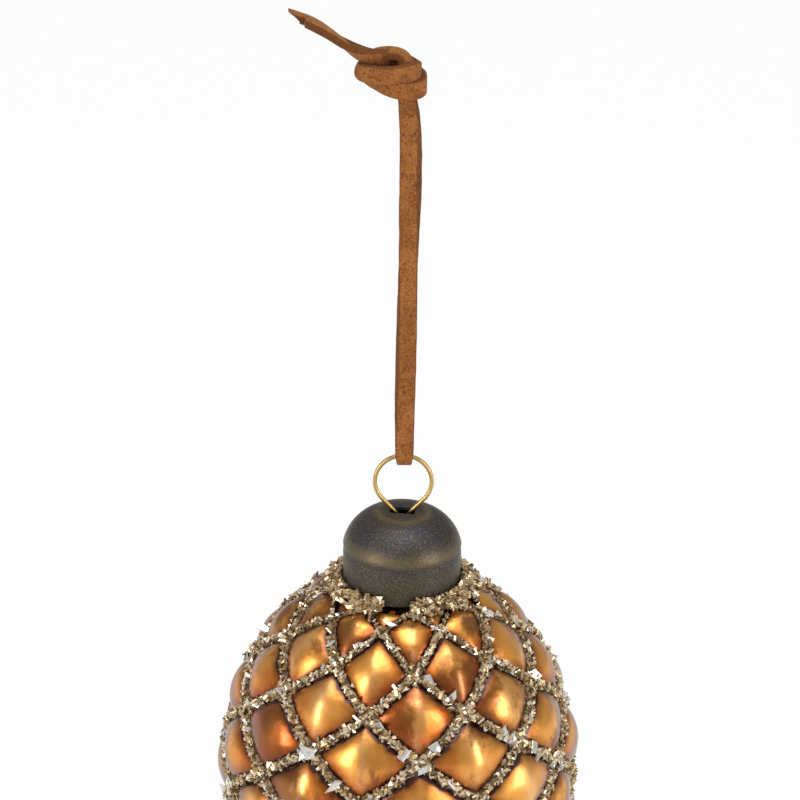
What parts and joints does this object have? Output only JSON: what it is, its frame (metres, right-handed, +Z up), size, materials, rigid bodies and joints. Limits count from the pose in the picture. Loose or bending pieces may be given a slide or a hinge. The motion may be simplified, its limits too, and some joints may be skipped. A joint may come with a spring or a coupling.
{
  "type": "pine cone ornament",
  "caption": "Blown glass pine cone with quilted lobes and glitter along its grooves, a domed metal cap, a wire ring and a knotted suede lace to hang it by.",
  "frame": {"origin": "inside top of the lace loop, under its knot, on the ornament's axis: the place that a hook or twig holds", "axes": "+Z up along the ornament's axis, +X to the right of the picture, -Y towards its camera"},
  "size_m": [0.0677, 0.0673, 0.2009],
  "materials": {
    "amber_glass": "blown glass, amber and mirrored inside, satin",
    "gold_glitter": "coarse crushed glass glitter, gold with a few silver shards",
    "dark_bronze": "thin steel, dark antique bronze, rubbed at the edges",
    "brass_wire": "bright wire",
    "tan_suede": "suede lace, napped, darker cut edges"
  },
  "bodies": {
    "root": {"glass_cone": "amber_glass", "glitter_lattice": "gold_glitter", "cap": "dark_bronze", "hanger_wire": "brass_wire", "lace_loop": "tan_suede", "lace_knot": "tan_suede", "lace_tail_long": "tan_suede", "lace_tail_short": "tan_suede"}
  },
  "joints": []
}
